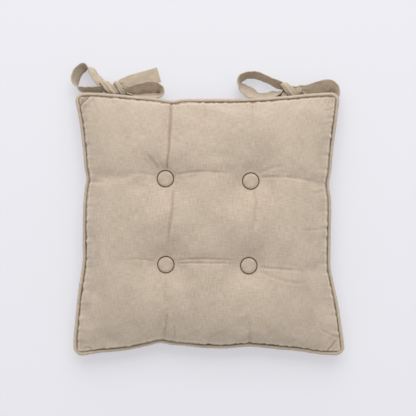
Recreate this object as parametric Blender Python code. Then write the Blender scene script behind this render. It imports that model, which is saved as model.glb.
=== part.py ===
# Tie-on tufted seat pad: two sewn fabric panels with a corded piping in the seam, a fibre filling,
# four covered buttons tufted through to backing buttons, and a bow of two tapes at each back corner.
# Metres, +Z up. The origin is the centre of the flat underside, and +Y is the back edge with the ties.
import math

import bmesh
import bpy
from mathutils import Vector

MM = 0.001

# ---- driving sizes ----
HALF_WIDTH = 0.1965          # seam line at the corners, half of the side-to-side size
HALF_DEPTH = 0.1915          # seam line at the corners, half of the front-to-back size
SIDE_PULL_IN = 0.013         # how far the middle of a left or right side curves inwards
END_PULL_IN = 0.0095         # the same for the back and front edges
CORNER_RADIUS = 0.009
SEAM_HEIGHT = 0.024
CROWN = 0.034                # how far the top stands above the seam
PANEL_THICKNESS = 0.0008
GAP = 0.0003                 # clearance between touching pieces

PIPING_RADIUS = 0.0033
CORD_RADIUS = 0.0024
FLANGE_LENGTH = 0.006        # the piping's two seam allowances, running inwards between the panels
FLANGE_LAYER = 0.0005
FLANGE_HALF = FLANGE_LAYER + GAP / 2
LIP = FLANGE_HALF + GAP + PANEL_THICKNESS    # a panel's outer face at the seam, from the seam's middle

BUTTON_RADIUS = 0.01275
BUTTON_HEIGHT = 0.0062
COVER_THICKNESS = 0.0007
SHELL_THICKNESS = 0.0006
SEAT_RADIUS = 0.0200         # flat bottom of the dimple under a button
SEAT_TOP = 0.0385            # height of the top panel under a button
TOP_DIMPLE_SPREAD = 0.026
SEAT_UNDER = 0.0075          # height of the bottom panel over a backing button
UNDER_DIMPLE_SPREAD = 0.020
BACKING_RADIUS = 0.0090
BACKING_THICKNESS = 0.0045
TWINE_RADIUS = 0.0008
TWINE_HOLE_RADIUS = 0.0019
SHANK_RADIUS = 0.0013
SHANK_LENGTH = 0.0032

TAPE_THICKNESS = 0.0012
KNOT_WALL = 0.0014
HINGE_Y = 0.1950             # line along which both bows swing: the tapes bend under the piping's outer edge
HINGE_Z = 0.0200

# Where the buttons pull the pad down, as (x, y); hand-tufted, so the four are not quite square.
buttonPlaces = {"back_left": (-0.0627, 0.0660), "back_right": (0.0629, 0.0625),
                "front_left": (-0.0620, -0.0605), "front_right": (0.0600, -0.0620)}

# Grid lines of the panels as distances from the middle; each button's flat seat lies between two lines.
SEAT_CELL = 0.0132           # half the width of the flat cell under a button
SEAT_ROW = 0.062             # grid lines nearer the middle than this are left out of the piping's path
middleLines = [-0.024, 0.0, 0.024]
outerLines = [0.100, 0.126, 0.150, 0.170, 0.1835]


def clear_objects():
    for obj in list(bpy.data.objects):
        bpy.data.objects.remove(obj, do_unlink=True)


def material(name, color, roughness, metallic=0.0):
    mat = bpy.data.materials.new(name)
    mat.use_nodes = True
    shader = mat.node_tree.nodes["Principled BSDF"]
    shader.inputs["Base Color"].default_value = (*color, 1.0)
    shader.inputs["Roughness"].default_value = roughness
    shader.inputs["Metallic"].default_value = metallic
    return mat


def link_mesh(name, bm, mat, origin=(0.0, 0.0, 0.0), parent=None):
    """Turn a bmesh in world coordinates into an object whose origin is at the given place."""
    bmesh.ops.translate(bm, verts=bm.verts, vec=-Vector(origin))
    bmesh.ops.recalc_face_normals(bm, faces=bm.faces)
    mesh = bpy.data.meshes.new(name)
    bm.to_mesh(mesh)
    bm.free()
    mesh.materials.append(mat)
    obj = bpy.data.objects.new(name, mesh)
    obj.location = origin
    bpy.context.scene.collection.objects.link(obj)
    if parent is not None:
        obj.parent = parent
        obj.matrix_parent_inverse.identity()
        obj.location = Vector(origin) - parent.location
    return obj


def empty(name, place):
    obj = bpy.data.objects.new(name, None)
    obj.location = place
    bpy.context.scene.collection.objects.link(obj)
    return obj


# ---- the panels' shape ----
def plan_point(x, y):
    """Bend a point of the straight-sided square so that the sides curve in and the corners are round."""
    u, v = x / HALF_WIDTH, y / HALF_DEPTH
    bx = x * (1 - SIDE_PULL_IN / HALF_WIDTH * (1 - v * v) * abs(u) ** 3)
    by = y * (1 - END_PULL_IN / HALF_DEPTH * (1 - u * u) * abs(v) ** 3)
    cx = HALF_WIDTH - CORNER_RADIUS
    cy = HALF_DEPTH - CORNER_RADIUS
    ox, oy = abs(bx) - cx, abs(by) - cy
    reach = math.hypot(ox, oy)
    if ox > 0 and oy > 0 and reach > CORNER_RADIUS:
        bx = math.copysign(cx + ox * CORNER_RADIUS / reach, bx)
        by = math.copysign(cy + oy * CORNER_RADIUS / reach, by)
    return bx, by


def crown(x, y):
    u, v = min(1.0, abs(x) / HALF_WIDTH), min(1.0, abs(y) / HALF_DEPTH)
    return math.sqrt((1 - u ** 2.6) * (1 - v ** 2.6))


def towards_seat(x, y, height, seat, spread):
    """Pull a height to a button's flat seat, easing back to the panel's own height around it."""
    nearest = min(math.hypot(x - bx, y - by) for bx, by in buttonPlaces.values())
    pull = math.exp(-(max(0.0, nearest - SEAT_RADIUS) / spread) ** 2)
    return height + (seat - height) * pull


def top_height(x, y):
    height = SEAM_HEIGHT + LIP + CROWN * crown(x, y)
    return towards_seat(x, y, height, SEAT_TOP, TOP_DIMPLE_SPREAD)


def bottom_height(x, y):
    height = (SEAM_HEIGHT - LIP) * max(0.0, 1 - 1.22 * crown(x, y))
    return towards_seat(x, y, height, SEAT_UNDER, UNDER_DIMPLE_SPREAD)


def grid_lines(half, axis):
    """The panels' grid lines along x (axis 0) or y (axis 1), from one seam to the other."""
    lines = [-half, half] + middleLines + outerLines + [-a for a in outerLines]
    for sign in (-1, 1):
        row = [place[axis] for place in buttonPlaces.values() if place[axis] * sign > 0]
        centre = sum(row) / len(row)
        lines += [centre - SEAT_CELL, centre + SEAT_CELL]
    return sorted(lines)


def slab(xs, ys, upper, lower):
    """A closed body between two height functions over the given grid lines."""
    bm = bmesh.new()
    layers = []
    for height in (upper, lower):
        layers.append([[bm.verts.new((*plan_point(x, y), height(x, y))) for x in xs] for y in ys])
    rows, cols = len(ys), len(xs)
    for layer in layers:
        for j in range(rows - 1):
            for i in range(cols - 1):
                bm.faces.new((layer[j][i], layer[j][i + 1], layer[j + 1][i + 1], layer[j + 1][i]))
    rim = [(0, i) for i in range(cols)] + [(j, cols - 1) for j in range(1, rows)]
    rim += [(rows - 1, i) for i in range(cols - 2, -1, -1)] + [(j, 0) for j in range(rows - 2, 0, -1)]
    for a, b in zip(rim, rim[1:] + rim[:1]):
        top, low = layers
        bm.faces.new((top[a[0]][a[1]], top[b[0]][b[1]], low[b[0]][b[1]], low[a[0]][a[1]]))
    return bm


def turned(profile, segments, centre):
    """Spin a closed profile of (radius, height) pairs about the vertical through a centre."""
    bm = bmesh.new()
    ring = [bm.verts.new((r, 0.0, z)) for r, z in profile]
    edges = [bm.edges.new((a, b)) for a, b in zip(ring, ring[1:])]
    if profile[0][0] > 1e-6 or profile[-1][0] > 1e-6:
        edges.append(bm.edges.new((ring[-1], ring[0])))
    bmesh.ops.spin(bm, geom=ring + edges, cent=(0, 0, 0), axis=(0, 0, 1), angle=2 * math.pi,
                   steps=segments, use_merge=True)
    bmesh.ops.remove_doubles(bm, verts=bm.verts, dist=1e-6)
    bmesh.ops.translate(bm, verts=bm.verts, vec=Vector(centre))
    return bm


def drill(obj, cutters):
    for cutter in cutters:
        cut = obj.modifiers.new("twine hole", "BOOLEAN")
        cut.operation = "DIFFERENCE"
        cut.object = cutter


def build_panels(mats):
    cutters = []
    for spot, (x, y) in buttonPlaces.items():
        bm = turned([(0.0, -0.01), (TWINE_HOLE_RADIUS, -0.01), (TWINE_HOLE_RADIUS, 0.08), (0.0, 0.08)],
                    8, (x, y, 0.0))
        cutter = link_mesh(f"hole_cutter_{spot}", bm, mats["cloth"])
        cutter.hide_render = True
        cutter.display_type = "WIRE"
        cutters.append(cutter)
    xs, ys = grid_lines(HALF_WIDTH, 0), grid_lines(HALF_DEPTH, 1)
    under_top = PANEL_THICKNESS + GAP
    top = slab(xs, ys, top_height, lambda x, y: top_height(x, y) - PANEL_THICKNESS)
    bottom = slab(xs, ys, lambda x, y: bottom_height(x, y) + PANEL_THICKNESS, bottom_height)
    filling = slab(xs[1:-1], ys[1:-1], lambda x, y: top_height(x, y) - under_top,
                   lambda x, y: bottom_height(x, y) + under_top)
    drill(link_mesh("top_panel", top, mats["cloth"]), cutters)
    drill(link_mesh("bottom_panel", bottom, mats["cloth"]), cutters)
    drill(link_mesh("fibre_filling", filling, mats["fibre"]), cutters)


# ---- the piping in the seam ----
def seam_loop():
    """The seam line around the pad, anticlockwise, with the outward direction at each point."""
    skipped = [-outerLines[0], outerLines[0], middleLines[0], middleLines[2]]
    sides = []
    for half, axis in ((HALF_WIDTH, 0), (HALF_DEPTH, 1)):
        lines = [line for line in grid_lines(half, axis) if line not in skipped]
        inner = [k for k in range(1, len(lines)) if abs(lines[k]) < SEAT_ROW and lines[k] != 0.0]
        sides.append([line for k, line in enumerate(lines[:-1]) if k not in inner])
    xs, ys = sides
    square = [(x, -HALF_DEPTH) for x in xs] + [(HALF_WIDTH, y) for y in ys]
    square += [(x, HALF_DEPTH) for x in [HALF_WIDTH] + xs[:0:-1]]
    square += [(-HALF_WIDTH, y) for y in [HALF_DEPTH] + ys[:0:-1]]
    bent = [Vector((*plan_point(x, y), 0.0)) for x, y in square]
    loop = []
    for k, point in enumerate(bent):
        along = (bent[(k + 1) % len(bent)] - bent[k - 1]).normalized()
        loop.append((point, Vector((along.y, -along.x, 0.0))))
    return loop


def swept_loop(section):
    """Sweep a closed section of (outward, height above the seam) pairs once around the seam line."""
    bm = bmesh.new()
    rings = []
    for point, outward in seam_loop():
        rings.append([bm.verts.new(point + outward * d + Vector((0, 0, SEAM_HEIGHT + h))) for d, h in section])
    for ring, following in zip(rings, rings[1:] + rings[:1]):
        for k in range(len(section)):
            n = (k + 1) % len(section)
            bm.faces.new((ring[k], ring[n], following[n], following[k]))
    return bm


def build_piping(mats):
    centre = PIPING_RADIUS + GAP
    inner = PIPING_RADIUS - FLANGE_LAYER
    half_slit = GAP / 2
    outer_arc = []
    inner_arc = []
    for k in range(7):
        swing = math.pi * (0.90 - 1.80 * k / 6)
        outer_arc.append((centre + PIPING_RADIUS * math.cos(swing), PIPING_RADIUS * math.sin(swing)))
        inner_arc.append((centre + inner * math.cos(swing), inner * math.sin(swing)))
    sleeve = [(-FLANGE_LENGTH, FLANGE_HALF), (0.0, FLANGE_HALF)] + outer_arc
    sleeve += [(0.0, -FLANGE_HALF), (-FLANGE_LENGTH, -FLANGE_HALF)]
    mouth = 0.00035                                # where the two layers part to go round the cord
    sleeve += [(-FLANGE_LENGTH, -half_slit), (mouth, -half_slit)] + inner_arc[::-1]
    sleeve += [(mouth, half_slit), (-FLANGE_LENGTH, half_slit)]
    link_mesh("piping_sleeve", swept_loop(sleeve), mats["cloth"])
    cord = []
    for k in range(6):
        swing = math.pi * 2 * (k + 0.5) / 6
        cord.append((centre + CORD_RADIUS * math.cos(swing), CORD_RADIUS * math.sin(swing)))
    link_mesh("piping_cord", swept_loop(cord), mats["cotton"])


# ---- buttons, twine and backing buttons ----
def dome(radius, height, steps):
    """Points of a domed outline from the rim up to the middle."""
    points = []
    for k in range(steps + 1):
        swing = math.pi / 2 * k / steps
        points.append((radius * math.cos(swing) ** 0.62 if k < steps else 0.0, height * math.sin(swing)))
    return points


def build_buttons(mats):
    base = SEAT_TOP + GAP
    lip = 0.0040                                   # the cover's cloth turned in under the rim
    shell_radius = BUTTON_RADIUS - COVER_THICKNESS - 2 * GAP
    shell_height = BUTTON_HEIGHT - COVER_THICKNESS - 2 * GAP
    shell_low = COVER_THICKNESS + GAP
    plate_radius = shell_radius - SHELL_THICKNESS - GAP
    for spot, (x, y) in buttonPlaces.items():
        rim = 0.0012
        outside = [(r, rim + z) for r, z in dome(BUTTON_RADIUS, BUTTON_HEIGHT - rim, 4)]
        inside = [(r, shell_low + z) for r, z in
                  dome(BUTTON_RADIUS - COVER_THICKNESS, BUTTON_HEIGHT - COVER_THICKNESS - shell_low, 4)]
        cover = inside[::-1] + [(BUTTON_RADIUS - lip, COVER_THICKNESS), (BUTTON_RADIUS - lip, 0.0),
                                (BUTTON_RADIUS - 0.0006, 0.0)] + outside
        link_mesh(f"button_cover_{spot}", turned(cover, 16, (x, y, base)), mats["cloth"])
        low = shell_low + GAP
        outside = [(r, low + z) for r, z in dome(shell_radius, shell_height - low, 4)]
        inside = [(r, low + z) for r, z in
                  dome(shell_radius - SHELL_THICKNESS, shell_height - SHELL_THICKNESS - low, 4)]
        link_mesh(f"button_shell_{spot}", turned(inside[::-1] + outside, 16, (x, y, base)), mats["metal"])
        plate_low = COVER_THICKNESS + 2 * GAP
        plate = [(0.0, plate_low + 0.0009), (plate_radius - 0.0008, plate_low + 0.0009),
                 (plate_radius - 0.0008, plate_low), (SHANK_RADIUS, plate_low),
                 (SHANK_RADIUS, -SHANK_LENGTH), (0.0, -SHANK_LENGTH)]
        link_mesh(f"button_back_{spot}", turned(plate, 12, (x, y, base)), mats["metal"])
        backing_top = SEAT_UNDER - GAP
        twine_low = backing_top + GAP
        twine_high = base - SHANK_LENGTH - GAP
        twine = [(0.0, twine_low), (TWINE_RADIUS, twine_low), (TWINE_RADIUS, twine_high), (0.0, twine_high)]
        link_mesh(f"tuft_twine_{spot}", turned(twine, 6, (x, y, 0.0)), mats["cotton"])
        edge = 0.0012
        backing = [(0.0, backing_top), (BACKING_RADIUS, backing_top),
                   (BACKING_RADIUS, backing_top - BACKING_THICKNESS + edge),
                   (BACKING_RADIUS - edge, backing_top - BACKING_THICKNESS),
                   (0.0, backing_top - BACKING_THICKNESS)]
        link_mesh(f"backing_button_{spot}", turned(backing, 16, (x, y, 0.0)), mats["plastic"])


# ---- the ties ----
# Each tape's route in millimetres: the middle line's x, y, z, the direction its width points in, and its
# width there. A tape runs from the seam through the knot, round its ear, back through the knot, to its end.
flatWay = (0, 1, 0)
seamWay = (1, 0, 0)
leftLean = (-0.40, 0.40, 0.82)
backLean = (0.05, 0.45, 0.89)
nearLean = (0, 0.60, 0.80)
farLean = (0, 0.45, 0.89)
lowLean = (0, 0.72, 0.69)

tapeRoutes = {
    "left_tie_tape_outer": [
        (-132.5, 187.0, 19.4, seamWay, 8), (-132.5, 188.2, 15.0, seamWay, 8), (-133, 193, 11.6, (1, 0.6, 0), 8),
        (-135.5, 199.3, 10.0, flatWay, 8), (-138.5, 201.7, 10.3, flatWay, 8), (-143, 202, 10.3, flatWay, 8),
        (-148.5, 202.2, 10.5, flatWay, 9), (-154.5, 202, 11.6, (-0.1, 0.75, 0.65), 12),
        (-161, 201, 12.4, (-0.25, 0.6, 0.76), 15), (-170, 199.8, 12.6, leftLean, 19),
        (-181, 199.3, 12.2, leftLean, 22), (-190.5, 201, 11.4, leftLean, 22), (-197, 206.3, 11.2, leftLean, 22),
        (-199, 215, 11.2, leftLean, 22), (-195.5, 225, 11.2, leftLean, 22), (-187, 233, 11.2, leftLean, 22),
        (-178.5, 234.5, 11.2, leftLean, 22), (-173, 228.5, 11.2, leftLean, 22), (-169.5, 219.5, 11.0, leftLean, 20),
        (-164.5, 212, 9.4, (-0.3, 0.7, 0.65), 16), (-156.5, 208, 6.6, (-0.1, 0.9, 0.3), 11),
        (-149, 205.0, 4.0, flatWay, 8), (-143, 204.5, 4.2, flatWay, 8), (-136.5, 205, 4.1, flatWay, 9),
        (-127, 208.7, 3.4, (-0.3, 0.95, 0), 15), (-113, 213, 2.6, (-0.3, 0.95, 0), 21),
        (-95, 218, 2.0, (-0.3, 0.95, 0), 22), (-73.9, 224.1, 1.6, (-0.3, 0.95, 0), 22)],
    "left_tie_tape_inner": [
        (-155, 187.0, 19.4, seamWay, 8), (-155, 188.0, 17.5, seamWay, 8), (-154.5, 192.5, 15.4, (1, -0.6, 0), 8),
        (-151.5, 199, 14.0, flatWay, 8), (-148, 201.6, 13.5, flatWay, 8), (-143, 202, 13.4, flatWay, 8),
        (-136.5, 202, 13.4, flatWay, 9), (-128, 203, 14.6, (0, 0.92, 0.38), 12), (-119, 201, 12.0, backLean, 17),
        (-108, 202.5, 11.6, backLean, 21), (-98, 205.5, 11.4, backLean, 22), (-88, 207.3, 11.4, backLean, 22),
        (-78.5, 206.3, 11.4, backLean, 22), (-71, 202.5, 11.4, backLean, 22), (-68.5, 197, 11.4, backLean, 22),
        (-72, 192, 11.2, backLean, 21), (-81, 189.5, 11.0, backLean, 20), (-93, 188.8, 10.6, backLean, 19),
        (-106, 189, 9.8, backLean, 17), (-118, 190.3, 7.6, (0, 0.85, 0.5), 13), (-127, 194, 5.8, (0, 1, 0.1), 11),
        (-134.5, 198.7, 6.8, flatWay, 9), (-143, 200.5, 7.2, flatWay, 8), (-148.5, 199.4, 7.6, flatWay, 8),
        (-153, 196.3, 5.2, (-0.5, 0.87, 0), 8), (-159, 193, 3.2, (-0.5, 0.87, 0), 12),
        (-168, 187, 1.5, (-0.5, 0.87, 0), 17), (-180, 180, 1.3, (-0.5, 0.87, 0), 21)],
    "right_tie_tape_inner": [
        (138, 187.0, 19.4, seamWay, 8), (138, 188.0, 15.0, seamWay, 8), (137, 192, 11.0, (1, 0.6, 0), 8),
        (134.2, 197, 10.0, flatWay, 8), (131, 199.2, 10.3, flatWay, 8), (126.5, 199.5, 10.3, flatWay, 8),
        (121, 199.7, 10.5, flatWay, 9), (115, 199, 10.9, (0, 0.85, 0.5), 11), (107, 197, 12.4, nearLean, 16),
        (97, 194, 12.4, nearLean, 20), (86, 192.3, 12.2, nearLean, 22), (74, 192.3, 12.0, nearLean, 22),
        (62, 196, 11.6, nearLean, 22), (52, 202.5, 11.4, nearLean, 22), (46.5, 210.5, 11.4, farLean, 22),
        (49.5, 218, 11.4, farLean, 22), (58.5, 222.5, 11.4, farLean, 22), (70, 223, 11.4, farLean, 22),
        (81, 219.5, 11.4, farLean, 22), (92, 214, 11.0, farLean, 22), (103, 208.5, 9.8, farLean, 18),
        (113, 205.3, 7.2, (0, 0.8, 0.6), 12), (120, 202.8, 4.2, flatWay, 8), (126.5, 202, 4.2, flatWay, 8),
        (132, 201, 4.0, flatWay, 9), (139, 198, 2.4, (0.3, 0.95, 0), 12), (147, 193.5, 1.6, (0.45, 0.9, 0), 15),
        (157, 188, 1.4, (0.5, 0.87, 0), 19), (168, 182, 1.3, (0.5, 0.87, 0), 21)],
    "right_tie_tape_outer": [
        (113, 187.0, 19.4, seamWay, 8), (113, 188.0, 17.5, seamWay, 8), (114, 192, 15.4, (1, -0.6, 0), 8),
        (117.5, 197, 14.0, flatWay, 8), (121.5, 199.2, 13.5, flatWay, 8), (126.5, 199.5, 13.4, flatWay, 8),
        (132.5, 199.8, 13.4, flatWay, 9), (141, 201.5, 14.6, (0, 0.92, 0.38), 12), (149, 201, 11.8, lowLean, 18),
        (158, 202.5, 10.8, lowLean, 21), (166, 204.7, 10.4, lowLean, 22), (174, 206.5, 10.4, lowLean, 22),
        (182, 206, 10.4, lowLean, 22), (188.5, 201.5, 10.4, lowLean, 22), (191, 195, 10.0, lowLean, 20),
        (188, 188.5, 9.8, lowLean, 19), (180, 185.3, 10.0, lowLean, 18), (168, 185, 10.2, lowLean, 18),
        (156, 187, 10.0, lowLean, 17), (147, 189.7, 8.0, (0, 0.85, 0.5), 14), (139, 192.7, 5.8, (0, 1, 0.1), 11),
        (132.5, 196.3, 6.8, flatWay, 9), (126.5, 198, 7.2, flatWay, 8), (121.5, 196.8, 7.8, flatWay, 8),
        (117, 193.6, 5.2, (-0.6, 0.8, 0), 8), (112, 190, 3.2, (-0.6, 0.8, 0), 12),
        (105, 183.5, 1.5, (-0.6, 0.8, 0), 16), (97, 176.5, 1.3, (-0.6, 0.8, 0), 20)],
}

knotPlaces = {"left_tie_knot": (-143, 202.5), "right_tie_knot": (126.5, 200.0)}


def smooth_route(route, steps):
    """Read a smooth curve through the route's points, with its width and width direction."""
    rows = [(Vector((x, y, z)) * MM, Vector(way).normalized(), width * MM) for x, y, z, way, width in route]
    stations = []
    for k in range(len(rows) - 1):
        p0, p1, p2, p3 = (rows[max(0, min(len(rows) - 1, k + n))][0] for n in (-1, 0, 1, 2))
        for step in range(steps):
            t = step / steps
            place = 0.5 * (2 * p1 + (p2 - p0) * t + (2 * p0 - 5 * p1 + 4 * p2 - p3) * t * t
                           + (3 * p1 - p0 - 3 * p2 + p3) * t ** 3)
            way = rows[k][1].lerp(rows[k + 1][1], t)
            width = rows[k][2] * (1 - t) + rows[k + 1][2] * t
            stations.append((place, way, width))
    stations.append(rows[-1])
    return stations


def tape(name, route, mat, pivot):
    """A flat tape with a rectangular section, following its route."""
    stations = smooth_route(route, 2)
    bm = bmesh.new()
    rings = []
    for k, (place, way, width) in enumerate(stations):
        ahead = stations[min(k + 1, len(stations) - 1)][0] - stations[max(k - 1, 0)][0]
        ahead.normalize()
        across = (way - ahead * way.dot(ahead)).normalized()
        face = ahead.cross(across) * TAPE_THICKNESS / 2
        side = across * width / 2
        rings.append([bm.verts.new(place + a) for a in (side + face, -side + face, -side - face, side - face)])
    for ring, following in zip(rings, rings[1:]):
        for k in range(4):
            n = (k + 1) % 4
            bm.faces.new((ring[k], ring[n], following[n], following[k]))
    bm.faces.new(rings[0])
    bm.faces.new(rings[-1])
    return link_mesh(name, bm, mat, pivot.location, pivot)


def knot(name, place, mat, pivot):
    """The wrap of tape around the four passes of the bow: a short open tube along X."""
    half_length, half_width, low, high = 0.0042, 0.0108, 0.0008, 0.0178
    middle = (low + high) / 2
    bm = bmesh.new()
    loops = []
    for wall in (0.0, KNOT_WALL):
        for end in (-1, 1):
            loop = []
            for k in range(12):
                swing = 2 * math.pi * k / 12
                reach_y = half_width - wall
                reach_z = (high - low) / 2 - wall
                y = math.copysign(abs(math.cos(swing)) ** 0.7, math.cos(swing)) * reach_y
                z = math.copysign(abs(math.sin(swing)) ** 0.7, math.sin(swing)) * reach_z
                loop.append(bm.verts.new((place[0] * MM + end * half_length, place[1] * MM + y, middle + z)))
            loops.append(loop)
    for a, b in ((0, 1), (1, 3), (3, 2), (2, 0)):
        for k in range(12):
            n = (k + 1) % 12
            bm.faces.new((loops[a][k], loops[a][n], loops[b][n], loops[b][k]))
    return link_mesh(name, bm, mat, pivot.location, pivot)


def build_ties(mats):
    pivots = {}
    for side, x in (("left", knotPlaces["left_tie_knot"][0]), ("right", knotPlaces["right_tie_knot"][0])):
        pivots[side] = empty(f"{side}_tie_pivot", (x * MM, HINGE_Y, HINGE_Z))
    for name, route in tapeRoutes.items():
        tape(name, route, mats["tape"], pivots[name.split("_")[0]])
    for name, place in knotPlaces.items():
        knot(name, place, mats["tape"], pivots[name.split("_")[0]])


clear_objects()
mats = {
    "cloth": material("plain woven linen cloth", (0.53, 0.45, 0.36), 0.92),
    "tape": material("folded linen tape", (0.50, 0.42, 0.33), 0.92),
    "fibre": material("polyester fibre filling", (0.85, 0.85, 0.83), 0.95),
    "cotton": material("twisted cotton", (0.72, 0.67, 0.58), 0.9),
    "metal": material("pressed aluminium", (0.75, 0.75, 0.76), 0.35, 1.0),
    "plastic": material("moulded backing plastic", (0.62, 0.56, 0.47), 0.5),
}
build_panels(mats)
build_piping(mats)
build_buttons(mats)
build_ties(mats)
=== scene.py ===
import math

import bmesh
import bpy
import numpy as np
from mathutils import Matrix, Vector, noise


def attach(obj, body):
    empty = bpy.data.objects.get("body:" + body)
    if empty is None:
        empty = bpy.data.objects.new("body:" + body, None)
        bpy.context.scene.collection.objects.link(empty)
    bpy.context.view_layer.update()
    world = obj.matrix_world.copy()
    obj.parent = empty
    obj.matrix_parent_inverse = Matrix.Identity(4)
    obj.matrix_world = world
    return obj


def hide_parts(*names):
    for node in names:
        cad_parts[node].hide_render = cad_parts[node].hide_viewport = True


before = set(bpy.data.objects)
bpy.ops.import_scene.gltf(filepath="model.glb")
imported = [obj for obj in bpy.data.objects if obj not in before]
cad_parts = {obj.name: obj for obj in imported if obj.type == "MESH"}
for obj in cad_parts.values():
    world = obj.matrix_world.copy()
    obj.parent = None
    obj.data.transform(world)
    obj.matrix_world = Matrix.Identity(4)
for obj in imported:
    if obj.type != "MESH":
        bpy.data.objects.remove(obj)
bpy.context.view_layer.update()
mm = 0.001
scene = bpy.context.scene

print("seat pad: frame loaded")


def linearColour(hexText):
    parts = [int(hexText[k:k + 2], 16) / 255 for k in (0, 2, 4)]
    return [c / 12.92 if c <= 0.04045 else ((c + 0.055) / 1.055) ** 2.4 for c in parts] + [1.0]


def addNode(tree, kind, settings=None, links=None):
    node = tree.nodes.new(kind)
    for key, value in (settings or {}).items():
        if key in node.inputs:
            node.inputs[key].default_value = value
        else:
            setattr(node, key, value)
    for key, socket in (links or {}).items():
        tree.links.new(socket, node.inputs[key])
    return node


def startMaterial(name, settings):
    mat = bpy.data.materials.new(name)
    mat.use_nodes = True
    tree = mat.node_tree
    shader = tree.nodes["Principled BSDF"]
    for key, value in settings.items():
        shader.inputs[key].default_value = value
    return mat, tree, shader


def scalar(tree, operation, first, second):
    node = addNode(tree, "ShaderNodeMath", {"operation": operation})
    for slot, value in enumerate((first, second)):
        if isinstance(value, (int, float)):
            node.inputs[slot].default_value = value
        else:
            tree.links.new(value, node.inputs[slot])
    return node.outputs[0]


# Plain-woven linen and cotton cloth: threads of uneven thickness, matte, with a soft pale nap.
# The real threads are about 0.6 mm apart, too fine to show here, so they are drawn 1.1 mm apart, and 1.5 mm
# apart on the buttons, where the cloth is stretched. The shares say how much each pattern shades the cloth.
# Of these, the fold share and the darkest colour give the painted shade in seams and folds, and the painted
# highlight on the rim.
clothLook = {"light": "D2C5B6", "dark": "AE9D8B", "thread": 1.1 * mm, "slub": 11 * mm, "slubWidth": 1.1 * mm,
             "bump": 0.2 * mm, "roughness": 0.93, "sheen": 0.22, "mottle": 30 * mm,
             "slubShare": 0.62, "threadShare": 0.22, "mottleShare": 0.3, "paintedShadeShare": 0.7,
             "threadRelief": 0.7, "paintedShadeColour": "5F4C38"}


def wovenCloth(name, look, turn=0.0):
    mat, tree, shader = startMaterial(name, {"Roughness": look["roughness"], "Sheen Weight": look["sheen"],
                                             "Sheen Roughness": 0.5, "IOR": 1.45,
                                             "Specular IOR Level": 0.25})
    place = addNode(tree, "ShaderNodeTexCoord").outputs["UV"]
    turned = addNode(tree, "ShaderNodeMapping", {"Rotation": (0, 0, turn)}, {"Vector": place}).outputs[0]
    threads = []
    slubs = []
    for way, stretch in (("X", (1 / look["slubWidth"], 1 / look["slub"], 1)),
                         ("Y", (1 / look["slub"], 1 / look["slubWidth"], 1))):
        wobble = addNode(tree, "ShaderNodeMapping", {"Scale": stretch}, {"Vector": turned}).outputs[0]
        slub = addNode(tree, "ShaderNodeTexNoise", {"Scale": 1.0, "Detail": 3.0, "Roughness": 0.6},
                       {"Vector": wobble}).outputs["Fac"]
        thread = addNode(tree, "ShaderNodeTexWave",
                         {"wave_type": "BANDS", "bands_direction": way, "Scale": 0.3142 / look["thread"],
                          "Distortion": 0.6, "Detail": 1.0, "Detail Scale": 1.0},
                          {"Vector": turned}).outputs["Fac"]
        threads.append(thread)
        slubs.append(slub)
    crossing = scalar(tree, "MULTIPLY", threads[0], threads[1])
    slubSum = scalar(tree, "ADD", slubs[0], slubs[1])
    height = scalar(tree, "ADD", scalar(tree, "MULTIPLY", crossing, look["threadRelief"]), slubSum)
    mottle = addNode(tree, "ShaderNodeTexNoise", {"Scale": 1 / look["mottle"], "Detail": 4.0},
                     {"Vector": turned}).outputs["Fac"]
    shade = scalar(tree, "ADD", scalar(tree, "MULTIPLY", slubSum, look["slubShare"]),
                   scalar(tree, "MULTIPLY", crossing, look["threadShare"]))
    shade = scalar(tree, "ADD", shade, scalar(tree, "MULTIPLY", mottle, look["mottleShare"]))
    # Painted shade darkens cloth in a seam or a tight fold; a fold below zero gives the rim a painted
    # highlight.
    fold = addNode(tree, "ShaderNodeAttribute", {"attribute_name": "fold"}).outputs["Fac"]
    shade = scalar(tree, "SUBTRACT", shade, scalar(tree, "MULTIPLY", fold, look["paintedShadeShare"]))
    ramp = addNode(tree, "ShaderNodeValToRGB", links={"Fac": shade})
    ramp.color_ramp.elements[0].position = 0.05
    ramp.color_ramp.elements[0].color = linearColour(look["paintedShadeColour"])
    ramp.color_ramp.elements[1].position = 1.0
    ramp.color_ramp.elements[1].color = linearColour(look["light"])
    ramp.color_ramp.elements.new(0.55).color = linearColour(look["dark"])
    tree.links.new(ramp.outputs["Color"], shader.inputs["Base Color"])
    bump = addNode(tree, "ShaderNodeBump", {"Strength": 1.0, "Distance": look["bump"]}, {"Height": height})
    tree.links.new(bump.outputs["Normal"], shader.inputs["Normal"])
    return mat


coverCloth = wovenCloth("plain woven linen cloth", clothLook)
biasCloth = wovenCloth("bias cut linen cloth", clothLook, math.radians(45))
buttonCloth = wovenCloth("stretched linen cloth", {**clothLook, "light": "D3C6B6", "dark": "A4937F",
                                                   "thread": 1.5 * mm})
tapeCloth = wovenCloth("folded linen tape", {**clothLook, "light": "D0C3B1", "dark": "B4A491"})


def makeObject(name, bm, mat):
    mesh = bpy.data.meshes.new(name)
    bm.to_mesh(mesh)
    bm.free()
    mesh.materials.append(mat)
    mesh.shade_smooth()
    piece = bpy.data.objects.new(name, mesh)
    scene.collection.objects.link(piece)
    return piece


def gridSheet(columns, rows):
    bm = bmesh.new()
    bmesh.ops.create_grid(bm, x_segments=columns, y_segments=rows, size=1.0)
    return bm


def setUv(bm, measure):
    layer = bm.loops.layers.uv.verify()
    for face in bm.faces:
        for loop in face.loops:
            loop[layer].uv = measure(loop.vert.co)


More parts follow.
